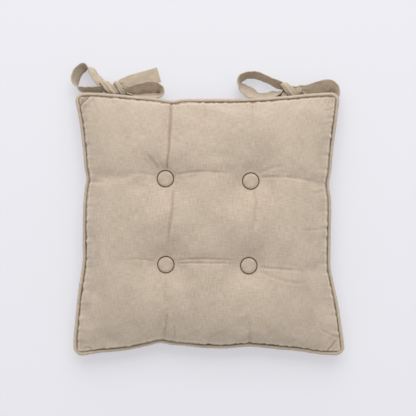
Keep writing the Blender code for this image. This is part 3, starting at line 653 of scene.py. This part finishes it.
# Routes as the middle line's x, y, z, the way its width points, and its width, in millimetres. They start
# where the CAD's tapes do and lie within a few millimetres of them; only the ears lean a little differently.
flatWay = (0, 1, 0)
seamWay = (1, 0, 0)
leftLean = (-0.40, 0.40, 0.82)
limbLean = (-0.36, -0.27, 0.89)
earLean = (0, 0.72, 0.69)
slopeLean = (0, -0.46, 0.89)
nearLean = (0, -0.52, 0.85)
farLean = (0, 0.42, 0.91)
lowLean = (0, 0.88, 0.47)
tapeRoutes = {
    "left_tie_tape_outer": [
        (-132.5, 187.0, 19.4, seamWay, 8), (-132.5, 188.2, 15.0, seamWay, 8),
        (-133, 193, 11.6, (1, 0.6, 0), 8), (-135.5, 199.3, 10.0, flatWay, 8),
        (-138.5, 201.7, 10.3, flatWay, 8), (-143, 202, 10.3, flatWay, 8), (-148.5, 202.2, 10.5, flatWay, 9),
        (-154.5, 202, 11.6, (-0.1, 0.75, 0.65), 12), (-161, 201, 12.4, (-0.25, 0.6, 0.76), 15),
        (-170, 199.8, 12.6, leftLean, 19), (-181, 199.3, 12.2, leftLean, 22),
        (-190.5, 201, 11.4, leftLean, 22), (-197, 206.3, 11.2, leftLean, 22),
        (-199, 215, 11.2, leftLean, 22), (-195.5, 225, 11.2, leftLean, 22), (-187, 233, 11.2, leftLean, 22),
        (-179, 233.5, 11.2, (-0.42, 0.1, 0.85), 22), (-173, 227.5, 11.2, limbLean, 22),
        (-168, 219.0, 10.8, limbLean, 22), (-162, 211.8, 9.6, (-0.5, -0.3, 0.7), 19),
        (-156, 207.6, 7.0, (-0.5, -0.5, 0.45), 13), (-149, 205.0, 4.2, (-0.2, -0.97, 0.1), 8),
        (-143, 204.5, 4.2, (0, -1, 0), 8), (-136.5, 205.5, 4.1, (0.1, -1, 0), 12),
        (-127, 208.7, 3.4, (0.3, -0.95, 0), 19), (-113, 213, 2.6, (0.3, -0.95, 0), 22),
        (-95, 218, 2.0, (0.3, -0.95, 0), 22), (-73.9, 224.1, 1.6, (0.3, -0.95, 0), 22)],
    "left_tie_tape_inner": [
        (-155, 187.0, 19.4, seamWay, 8), (-155, 188.0, 17.5, seamWay, 8),
        (-154.5, 192.5, 15.4, (1, -0.6, 0), 8), (-151.5, 199, 14.0, flatWay, 8),
        (-148, 201.6, 13.5, flatWay, 8), (-143, 202, 13.4, flatWay, 8), (-136.5, 202, 13.4, flatWay, 9),
        (-128, 201, 13.6, (0, 0.92, 0.38), 12), (-119, 198.2, 12.0, earLean, 18),
        (-108, 199.2, 11.4, earLean, 22), (-98, 202, 11.0, earLean, 23), (-88, 203.8, 11.0, earLean, 23),
        (-78.5, 203, 11.0, (0.1, 0.74, 0.68), 23), (-71.5, 201, 11.0, (0.35, 0.35, 0.87), 22),
        (-69.5, 196.2, 10.6, (0.42, -0.05, 0.9), 21), (-73, 192.4, 10.2, (0.2, -0.4, 0.89), 20),
        (-82, 191.6, 10.0, slopeLean, 21), (-94, 191.5, 9.8, slopeLean, 21),
        (-107, 191.8, 9.0, (0, -0.3, 0.95), 18), (-118, 192, 7.6, (0, 0.4, 0.92), 13),
        (-127, 194.5, 5.8, (0, 1, 0.3), 11), (-134.5, 198.7, 6.8, flatWay, 9),
        (-143, 200.5, 7.2, flatWay, 8), (-148.5, 199.4, 7.6, flatWay, 8),
        (-153, 196.3, 5.2, (-0.5, 0.87, 0), 8), (-159, 193, 3.2, (-0.5, 0.87, 0), 12),
        (-168, 187, 1.5, (-0.5, 0.87, 0), 17), (-180, 180, 1.3, (-0.5, 0.87, 0), 21)],
    "right_tie_tape_inner": [
        (138, 187.0, 19.4, seamWay, 8), (138, 188.0, 15.0, seamWay, 8), (137, 192, 11.0, (1, 0.6, 0), 8),
        (134.2, 197, 10.0, flatWay, 8), (131, 199.2, 10.3, flatWay, 8), (126.5, 199.5, 10.3, flatWay, 8),
        (121, 199.7, 10.5, flatWay, 9), (115, 198.5, 10.6, (0, 0.6, 0.8), 12),
        (107, 195.5, 10.4, (0, -0.3, 0.95), 17), (97, 193, 10.2, (0, -0.6, 0.8), 20),
        (86, 190.2, 10.0, nearLean, 21), (74, 191, 9.8, nearLean, 22),
        (62, 196.6, 9.2, (-0.25, -0.75, 0.6), 22), (52, 203, 9.8, (-0.35, -0.5, 0.79), 22),
        (47, 210.5, 10.8, (-0.32, 0.15, 0.93), 22), (50, 217.8, 11.2, (-0.15, 0.38, 0.91), 22),
        (58.5, 221.8, 11.2, farLean, 22), (70, 222.2, 11.2, farLean, 22), (81, 219, 11.2, farLean, 22),
        (92, 214, 11.0, farLean, 21), (103, 209, 9.8, (0, 0.55, 0.83), 18),
        (113, 205.3, 7.2, (0, 0.8, 0.6), 12), (120, 202.8, 4.2, flatWay, 8), (126.5, 202, 4.2, flatWay, 8),
        (132, 201, 4.0, flatWay, 9), (139, 198, 2.4, (0.3, 0.95, 0), 12),
        (147, 193.5, 1.6, (0.45, 0.9, 0), 15), (157, 188, 1.4, (0.5, 0.87, 0), 19),
        (168, 182, 1.3, (0.5, 0.87, 0), 21)],
    "right_tie_tape_outer": [
        (113, 187.0, 19.4, seamWay, 8), (113, 188.0, 17.5, seamWay, 8), (114, 192, 15.4, (1, -0.6, 0), 8),
        (117.5, 197, 14.0, flatWay, 8), (121.5, 199.2, 13.5, flatWay, 8), (126.5, 199.5, 13.4, flatWay, 8),
        (132.5, 199.8, 13.4, flatWay, 9), (141, 200.5, 14.2, (0, 0.92, 0.38), 13),
        (149, 199.6, 11.6, lowLean, 18), (158, 201, 10.4, lowLean, 21), (166, 203.4, 10.0, lowLean, 22),
        (174, 205.2, 10.0, lowLean, 22), (182, 205.4, 10.2, (0.1, 0.84, 0.52), 22),
        (188.8, 201.5, 10.6, (0.45, 0.5, 0.74), 22), (191.8, 195, 10.4, (0.45, 0.1, 0.89), 20),
        (189.5, 189.6, 9.8, (0.3, -0.4, 0.87), 19), (181, 190, 9.6, (0.1, -0.62, 0.78), 20),
        (168, 188.6, 9.6, slopeLean, 20), (156, 189.4, 9.2, slopeLean, 18),
        (147, 190.8, 8.0, (0, 0.4, 0.92), 14), (139, 192.9, 5.8, (0, 1, 0.3), 11),
        (132.5, 196.3, 6.8, flatWay, 9), (126.5, 198, 7.2, flatWay, 8), (121.5, 196.8, 7.8, flatWay, 8),
        (117, 193.6, 5.2, (-0.6, 0.8, 0), 8), (112, 190, 3.2, (-0.6, 0.8, 0), 12),
        (105, 183.5, 1.5, (-0.6, 0.8, 0), 16), (97, 176.5, 1.3, (-0.6, 0.8, 0), 20)],
}
tape = {"width": 22.0, "thick": 1.5, "gathered": 2.4, "steps": 7, "face": 15, "gatherRange": 13,
        "edgeRound": 0.35, "stitch": 1.9, "stitchDepth": 0.32, "stitchWidth": 0.7,
        "pleat": 0.5, "pleatWaves": 2.6, "pleatTwist": 0.04, "crumple": 1.2, "crumpleSize": 11,
        "flutter": 0.9, "flutterSize": 7, "innerShade": 0.476, "gatherShade": 0.25}


# Points along a smooth curve through the route, each with the way its width points and its width.
def smoothRoute(route, steps):
    stations = []
    rows = [(Vector(row[:3]), Vector(row[3]).normalized(), row[4]) for row in route]
    for k in range(len(rows) - 1):
        p0, p1, p2, p3 = (rows[max(0, min(len(rows) - 1, k + n))][0] for n in (-1, 0, 1, 2))
        for step in range(steps):
            t = step / steps
            place = 0.5 * (2 * p1 + (p2 - p0) * t + (2 * p0 - 5 * p1 + 4 * p2 - p3) * t * t
                           + (3 * p1 - p0 - 3 * p2 + p3) * t ** 3)
            ease = t * t * (3 - 2 * t)
            stations.append((place, rows[k][1].lerp(rows[k + 1][1], ease),
                             rows[k][2] * (1 - ease) + rows[k + 1][2] * ease))
    stations.append(rows[-1])
    return stations


# Round a folded tape's section: (place across from -1 to 1, 1 on top, -1 below or 0 at the folded edge).
def tapeSection(faceCount):
    ring = [(-1 + 2 * k / (faceCount - 1), 1.0) for k in range(faceCount)]
    ring += [(1.0, 0.0)] + [(side, -1.0) for side, _ in reversed(ring)] + [(-1.0, 0.0)]
    return ring


def makeTape(name, route, seed):
    stations = smoothRoute(route, tape["steps"])
    run = [0.0]
    for a, b in zip(stations, stations[1:]):
        run.append(run[-1] + (b[0] - a[0]).length)
    ring = tapeSection(tape["face"])
    rows, columns = len(stations) - 1, len(ring)
    bm = gridSheet(columns, rows)
    spread = bm.loops.layers.uv.verify()
    for face in bm.faces:
        for loop in face.loops:
            around = (loop.vert.co.x + 1) / 2
            k = int(round((loop.vert.co.y + 1) / 2 * rows))
            loop[spread].uv = (run[k] * mm, around * 2 * (tape["width"] + tape["thick"]) * mm)
    bm.verts.index_update()
    shades = {}
    for vert in bm.verts:
        k = int(round((vert.co.y + 1) / 2 * rows))
        side, top = ring[int(round((vert.co.x + 1) / 2 * columns)) % columns]
        place, way, width = stations[k]
        ahead = (stations[min(k + 1, rows)][0] - stations[max(k - 1, 0)][0]).normalized()
        across = (way - ahead * way.dot(ahead)).normalized()
        normal = ahead.cross(across)
        gather = min(1.0, max(0.0, (tape["width"] - width) / tape["gatherRange"]))
        thick = tape["thick"] + (tape["gathered"] - tape["thick"]) * gather
        edge = width / 2 - abs(side) * width / 2
        rounding = tape["edgeRound"] if edge < 0.01 and top else 0.0
        fromStitch = (edge - tape["stitch"]) / tape["stitchWidth"]
        groove = tape["stitchDepth"] * math.exp(-fromStitch ** 2) * (1 - gather)
        wave = side * math.pi * tape["pleatWaves"] + seed + run[k] * tape["pleatTwist"]
        pleat = tape["pleat"] * gather * math.cos(wave)
        loose = min(1.0, run[k] / 12, (run[-1] - run[k]) / 6 + 0.35) * (1 - gather)
        crumple = tape["crumple"] * noise.noise(Vector((run[k] / tape["crumpleSize"],
                                                        side * 1.3 + seed * 3.7, seed)))
        ripple = noise.noise(Vector((run[k] / tape["flutterSize"], seed * 5.1 + math.copysign(4, side), 1.0)))
        flutter = tape["flutter"] * ripple * abs(side) ** 3
        offset = (crumple + flutter) * loose + pleat
        spot = place + across * (side * width / 2 - math.copysign(rounding, side))
        spot = spot + normal * (top * (thick / 2 - groove) + offset)
        vert.co = spot * mm
        # Painted shade inside the ears and on the gathered tape.
        inside = max(0.0, -normal.y * top) * (1 - gather)   # the faces that look to the front, into the ears
        shades[vert.index] = tape["innerShade"] * inside + tape["gatherShade"] * gather
    paintedShadeLayer = bm.verts.layers.float.new("fold")
    for vert in bm.verts:
        vert[paintedShadeLayer] = shades[vert.index]
    bmesh.ops.remove_doubles(bm, verts=bm.verts, dist=0.005 * mm)
    bmesh.ops.holes_fill(bm, edges=[edge for edge in bm.edges if edge.is_boundary], sides=0)
    bmesh.ops.recalc_face_normals(bm, faces=bm.faces)
    path = [station[0] * mm for station in stations]
    return makeObject(name.replace("tie_tape", "tape"), bm, tapeCloth), path, run[-1]


# Each knot's wraps of tape: middle, reach to the back and up, width, slant, start of its pleats, and how much
# of its width it keeps underneath.
knots = {
    "left_tie_knot": [
        {"centre": (-147, 202.3, 10.4), "reach": (11.2, 10.2), "width": 18.0, "tilt": -8.5, "turn": 0.0,
         "slim": 0.55},
        {"centre": (-132.5, 202.2, 9.0), "reach": (10.6, 8.0), "width": 10.0, "tilt": -5.0, "turn": 2.0,
         "slim": 0.8}],
    "right_tie_knot": [
        {"centre": (121.5, 199.6, 10.4), "reach": (11.0, 10.2), "width": 17.0, "tilt": -8.0, "turn": 1.4,
         "slim": 0.5},
        {"centre": (134.5, 198.0, 8.6), "reach": (9.0, 7.6), "width": 11.0, "tilt": 5.0, "turn": 0.6,
         "slim": 0.8}],
}


wrap = {"face": 19, "rows": 64, "girth": 34, "spread": 18, "half": 0.75, "pleat": 0.75, "pleatWaves": 7.0,
        "squareness": 0.8, "belly": 0.24, "bellyPower": 2.2, "crumple": 0.8, "floor": 0.4,
        "edgeShade": 0.55, "pleatShade": 0.35, "insideShade": 0.5}


def makeWrap(look):
    ring = tapeSection(wrap["face"])
    columns, rows = len(ring), wrap["rows"]
    bm = gridSheet(columns, rows)
    spread = bm.loops.layers.uv.verify()
    for face in bm.faces:
        for loop in face.loops:
            place = loop.vert.co
            loop[spread].uv = ((place.y + 1) * wrap["girth"] * mm, (place.x + 1) * wrap["spread"] * mm)
    cx, cy, cz = look["centre"]
    bm.verts.index_update()
    shades = {}
    for vert in bm.verts:
        swing = (vert.co.y + 1) * math.pi
        side, top = ring[int(round((vert.co.x + 1) / 2 * columns)) % columns]
        c, s = math.cos(swing), math.sin(swing)
        reachY = look["reach"][0] * math.copysign(abs(c) ** wrap["squareness"], c)
        reachZ = look["reach"][1] * math.copysign(abs(s) ** wrap["squareness"], s)
        width = look["width"] * (look["slim"] + (1 - look["slim"]) * max(0.0, s) ** 0.7)
        wave = side * wrap["pleatWaves"] + look["turn"] + 0.8 * math.sin(swing * 2)
        pleat = wrap["pleat"] * math.cos(wave) * (0.5 + 0.5 * max(0, s))
        belly = 1.0 - wrap["belly"] * abs(side) ** wrap["bellyPower"]
        out = Vector((0, c, s)).normalized()
        crumple = noise.noise(Vector((side * 2, c * 2, s * 2 + look["turn"])))
        lift = top * wrap["half"] + pleat + wrap["crumple"] * crumple
        lean = look["tilt"] * c
        spot = Vector((cx + side * width / 2 + lean, cy + reachY * belly, cz + reachZ * belly)) + out * lift
        spot.z = max(spot.z, wrap["floor"])
        vert.co = spot * mm
        # Painted shade at the wraps' edges, in their pleats and on their inner face.
        shade = wrap["edgeShade"] * abs(side) ** 6 + wrap["pleatShade"] * max(0.0, -pleat)
        shades[vert.index] = min(1.0, shade + (wrap["insideShade"] if top < 0 else 0.0))
    paintedShadeLayer = bm.verts.layers.float.new("fold")
    for vert in bm.verts:
        vert[paintedShadeLayer] = shades[vert.index]
    bmesh.ops.remove_doubles(bm, verts=bm.verts, dist=0.005 * mm)
    return bm


def makeKnot(name, looks):
    whole = makeWrap(looks[0])
    for look in looks[1:]:
        extra = makeWrap(look)
        mesh = bpy.data.meshes.new("wrap")
        extra.to_mesh(mesh)
        extra.free()
        whole.from_mesh(mesh)
        bpy.data.meshes.remove(mesh)
    bmesh.ops.recalc_face_normals(whole, faces=whole.faces)
    return makeObject(name.replace("tie_knot", "knot_wrap"), whole, tapeCloth)


knotPieces = {}
for name, looks in knots.items():
    knotPieces[name] = makeKnot(name, looks)
    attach(knotPieces[name], name.replace("_knot", ""))
    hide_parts(name)
for seed, (name, route) in enumerate(tapeRoutes.items()):
    tapePiece, path, length = makeTape(name, route, seed)
    side = name.split("_")[0]
    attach(tapePiece, side + "_tie")
    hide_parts(name)
    print("seat pad:", name, "is", round(length, 1), "mm long")


# Pressed aluminium: bright, with a faint satin smear from the press tool.
def pressedMetal():
    mat, tree, shader = startMaterial("pressed aluminium", {"Metallic": 1.0, "Roughness": 0.34})
    place = addNode(tree, "ShaderNodeTexCoord").outputs["Object"]
    smear = addNode(tree, "ShaderNodeTexNoise", {"Scale": 900.0, "Detail": 2.0},
                    {"Vector": place}).outputs["Fac"]
    ramp = addNode(tree, "ShaderNodeValToRGB", links={"Fac": smear})
    ramp.color_ramp.elements[0].color = linearColour("C6C7C9")
    ramp.color_ramp.elements[1].color = linearColour("DCDDDF")
    tree.links.new(ramp.outputs["Color"], shader.inputs["Base Color"])
    return mat


# Twisted cotton: off-white, matte, with the diagonal lay of its strands.
def twistedCotton():
    mat, tree, shader = startMaterial("twisted cotton", {"Roughness": 0.9, "Sheen Weight": 0.2})
    place = addNode(tree, "ShaderNodeTexCoord").outputs["Object"]
    lay = addNode(tree, "ShaderNodeTexWave", {"bands_direction": "DIAGONAL", "Scale": 260.0,
                                              "Distortion": 1.0},
                  {"Vector": place}).outputs["Fac"]
    ramp = addNode(tree, "ShaderNodeValToRGB", links={"Fac": lay})
    ramp.color_ramp.elements[0].color = linearColour("C9BFAE")
    ramp.color_ramp.elements[1].color = linearColour("E4DCCD")
    tree.links.new(ramp.outputs["Color"], shader.inputs["Base Color"])
    return mat


# Moulded plastic in the cloth's colour: even, satin, with a fine moulded grain.
def mouldedPlastic():
    mat, tree, shader = startMaterial("moulded plastic", {"Roughness": 0.48, "IOR": 1.49})
    place = addNode(tree, "ShaderNodeTexCoord").outputs["Object"]
    grain = addNode(tree, "ShaderNodeTexNoise", {"Scale": 1400.0, "Detail": 3.0},
                    {"Vector": place}).outputs["Fac"]
    shader.inputs["Base Color"].default_value = linearColour("B5A58F")
    bump = addNode(tree, "ShaderNodeBump", {"Strength": 0.4, "Distance": 0.05 * mm}, {"Height": grain})
    tree.links.new(bump.outputs["Normal"], shader.inputs["Normal"])
    return mat


# The parts carried over from the CAD keep their shape and only get better materials.
buttonMetal = pressedMetal()
dressing = {"button_shell_": buttonMetal, "button_back_": buttonMetal, "tuft_twine_": twistedCotton(),
            "backing_button_": mouldedPlastic()}
for node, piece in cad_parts.items():
    for start, mat in dressing.items():
        if node.startswith(start):
            for materialSlot in piece.material_slots:
                materialSlot.link = "OBJECT"
                materialSlot.material = mat

stage = {"floor": "B2B4BB", "floorGlow": "F4F4FB", "glow": 0.415, "floorHalf": 4.0, "floorDrop": 0.0002,
         "sky": "FFFDFA", "world": 0.62, "lamp": "FFFBF5", "key": 82.0, "lampSize": 3.2,
         "lampPlace": (0.02, 2.55, 2.08), "aim": (0, 0, 0.02), "view": 1.8, "across": 0.6186, "aimY": 0.023}


# A pale floor, one large soft lamp behind and above the pad, even light all round, and a camera overhead.
def makeStage():
    bm = bmesh.new()
    bmesh.ops.create_grid(bm, x_segments=1, y_segments=1, size=stage["floorHalf"])
    bmesh.ops.translate(bm, verts=bm.verts, vec=(0, 0, -stage["floorDrop"]))
    mat, tree, shader = startMaterial("pale matt floor", {"Roughness": 0.9})
    shader.inputs["Base Color"].default_value = linearColour(stage["floor"])
    shader.inputs["Emission Color"].default_value = linearColour(stage["floorGlow"])
    shader.inputs["Emission Strength"].default_value = stage["glow"]   # lit from below, for faint shadows
    floor = makeObject("floor", bm, mat)
    world = bpy.data.worlds.new("soft studio")
    world.use_nodes = True
    sky = world.node_tree.nodes["Background"]
    sky.inputs["Color"].default_value = linearColour(stage["sky"])
    sky.inputs["Strength"].default_value = stage["world"]
    scene.world = world
    lamp = bpy.data.lights.new("window", "AREA")
    lamp.shape = "SQUARE"
    lamp.size = stage["lampSize"]
    lamp.energy = stage["key"]
    lamp.color = linearColour(stage["lamp"])[:3]
    key = bpy.data.objects.new("window", lamp)
    key.location = stage["lampPlace"]
    key.rotation_euler = (Vector(stage["aim"]) - key.location).to_track_quat("-Z", "Y").to_euler()
    scene.collection.objects.link(key)
    lens = bpy.data.cameras.new("overhead")
    lens.sensor_width = 36
    lens.lens = 36 * stage["view"] / stage["across"]
    camera = bpy.data.objects.new("overhead", lens)
    camera.location = (0, stage["aimY"], stage["view"] + pad["seam"] * mm)
    scene.collection.objects.link(camera)
    scene.camera = camera
    scene.view_settings.view_transform = "Standard"


makeStage()
